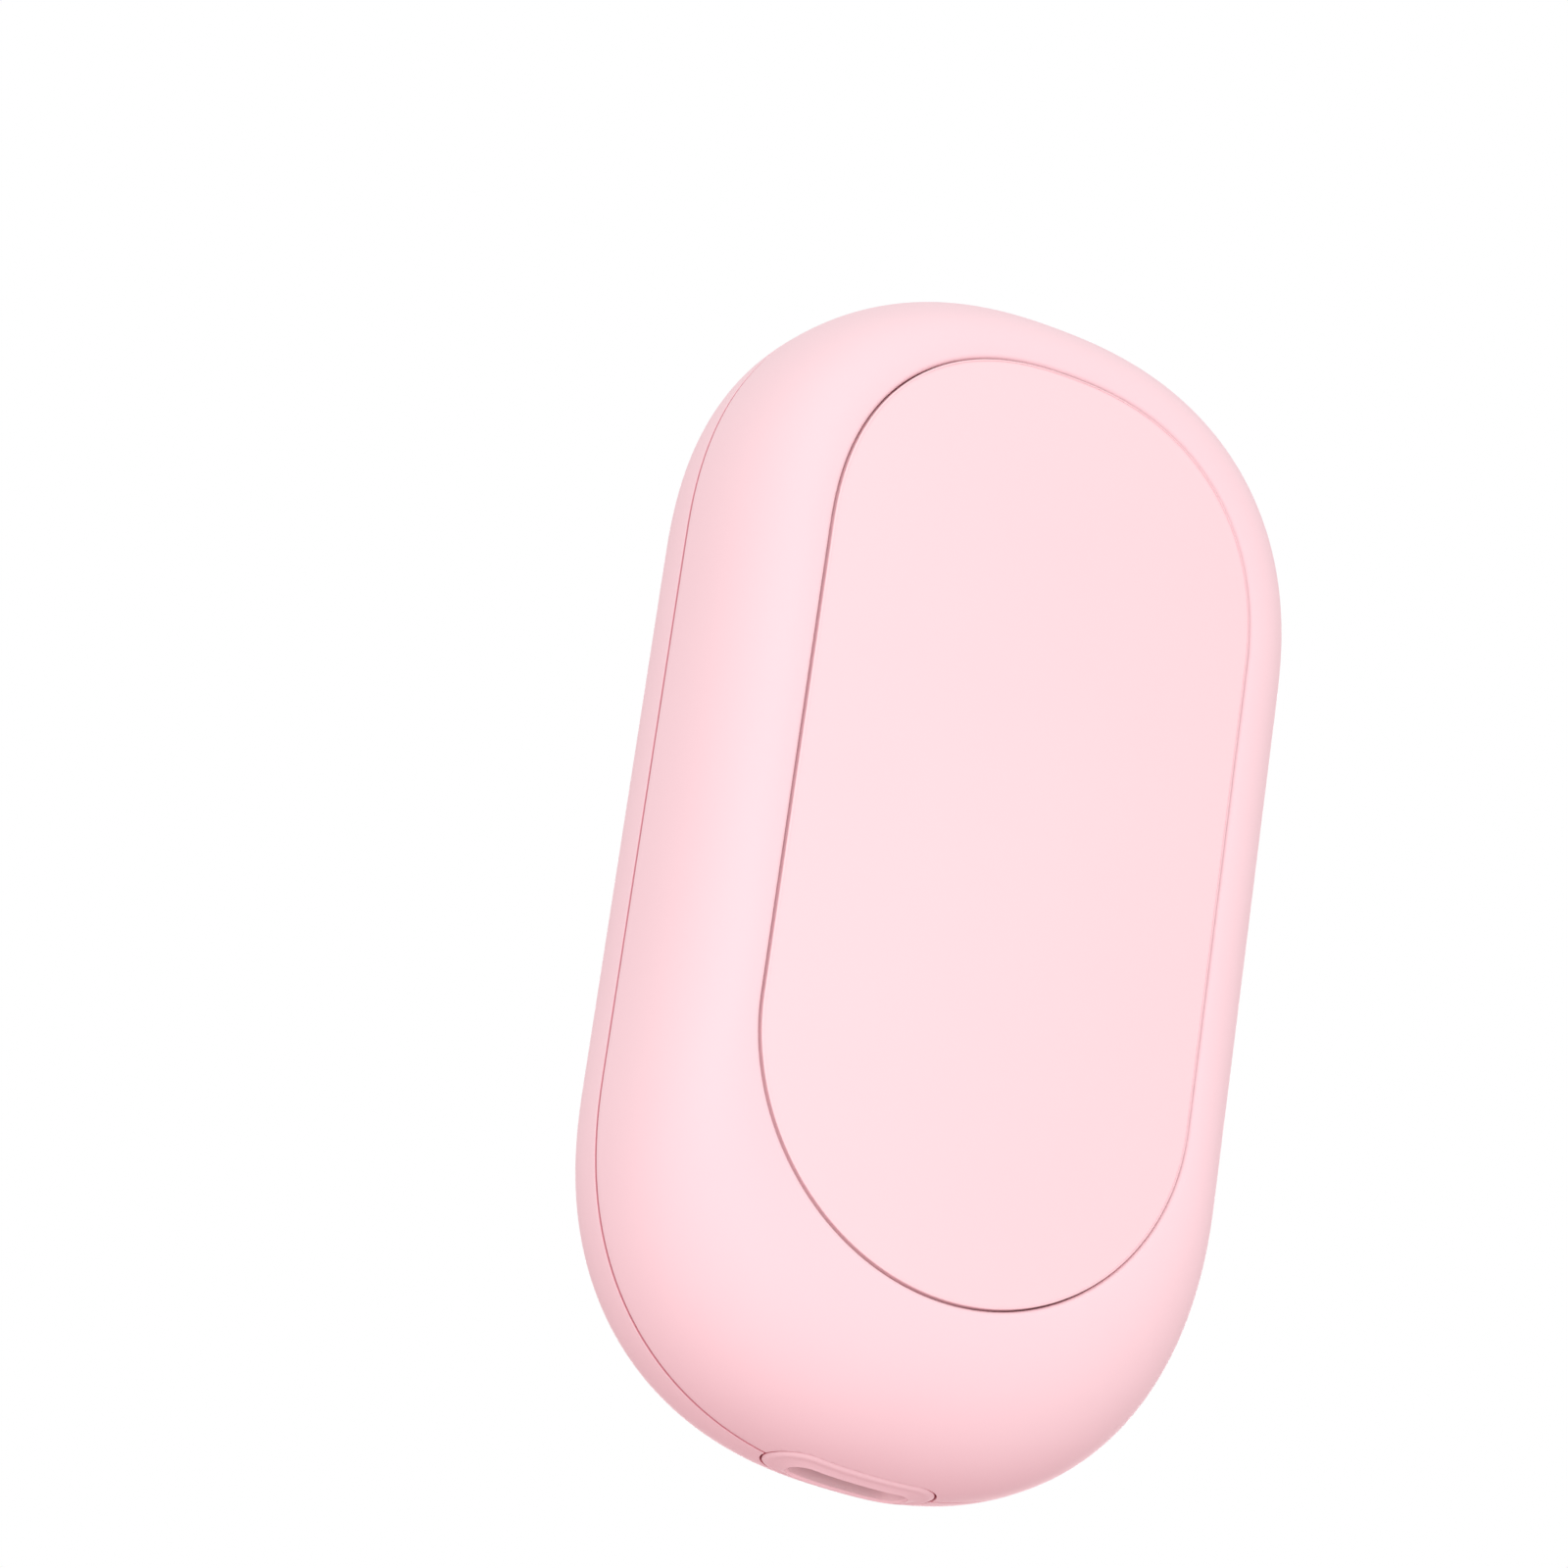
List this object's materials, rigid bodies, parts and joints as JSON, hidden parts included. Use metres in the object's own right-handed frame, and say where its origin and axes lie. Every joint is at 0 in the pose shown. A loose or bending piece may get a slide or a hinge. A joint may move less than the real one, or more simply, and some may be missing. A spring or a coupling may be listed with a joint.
{
  "type": "hand warmer",
  "caption": "Capsule-shaped rechargeable hand warmer: two soft-touch shells round a flush heated plate, with a round power button, pinhole lamps and a charging port in its end.",
  "frame": {"origin": "centre of the bounding box", "axes": "+Z along the body's length towards the lamp end, with the charging port in the -Z end; -Y out of the heated plate; +Y out of the button side; +X to the right as the plate is seen"},
  "size_m": [0.0536, 0.02, 0.0998],
  "materials": {
    "shell_plastic": "soft-touch painted",
    "plate_painted": "satin paint on aluminium",
    "steel": "plain",
    "black_plastic": "moulded",
    "white_plastic": "moulded",
    "film": "polyimide film",
    "white_foam": "silicone foam",
    "grey_foam": "polyurethane foam",
    "pouch_foil": "laminated foil",
    "board_laminate": "solder mask on glass laminate",
    "red_silicone": "wire insulation",
    "black_silicone": "wire insulation",
    "lamp": "moulded lamp body",
    "clear_plastic": "clear acrylic",
    "ferrite": "pressed ferrite",
    "ceramic": "fired ceramic"
  },
  "bodies": {
    "housing": {"front_shell": "shell_plastic", "rear_shell": "shell_plastic", "heating_plate": "plate_painted", "port_bezel": "shell_plastic", "usb_socket_shell": "steel", "usb_contact_tongue": "black_plastic", "heater_film": "film", "insulation_pad": "white_foam", "temperature_sensor": "black_plastic", "battery_cell": "pouch_foil", "protection_board": "board_laminate", "battery_foam": "grey_foam", "battery_lead_red": "red_silicone", "battery_lead_black": "black_silicone", "main_board": "board_laminate", "board_screw_1": "steel", "board_screw_2": "steel", "board_screw_3": "steel", "board_screw_4": "steel", "switch_body": "black_plastic", "lamp_1": "lamp", "lamp_2": "lamp", "lamp_3": "lamp", "light_guide": "clear_plastic", "charger_chip": "black_plastic", "controller_chip": "black_plastic", "heater_switch_chip": "black_plastic", "power_inductor": "ferrite", "input_capacitor": "ceramic", "output_capacitor": "ceramic"},
    "button": {"power_button": "shell_plastic"},
    "plunger": {"switch_plunger": "white_plastic"}
  },
  "joints": [
    {"name": "button_press", "type": "slide", "parent": "housing", "child": "button", "axis": [0, -1, 0], "range_m": [0, 0.00035], "stiffness_N_per_m": 2000},
    {"name": "plunger_press", "type": "slide", "parent": "housing", "child": "plunger", "axis": [0, -1, 0], "range_m": [0, 0.00035]}
  ],
  "couplings": [
    {"joint": "plunger_press", "follows": "button_press", "ratio": 1}
  ]
}
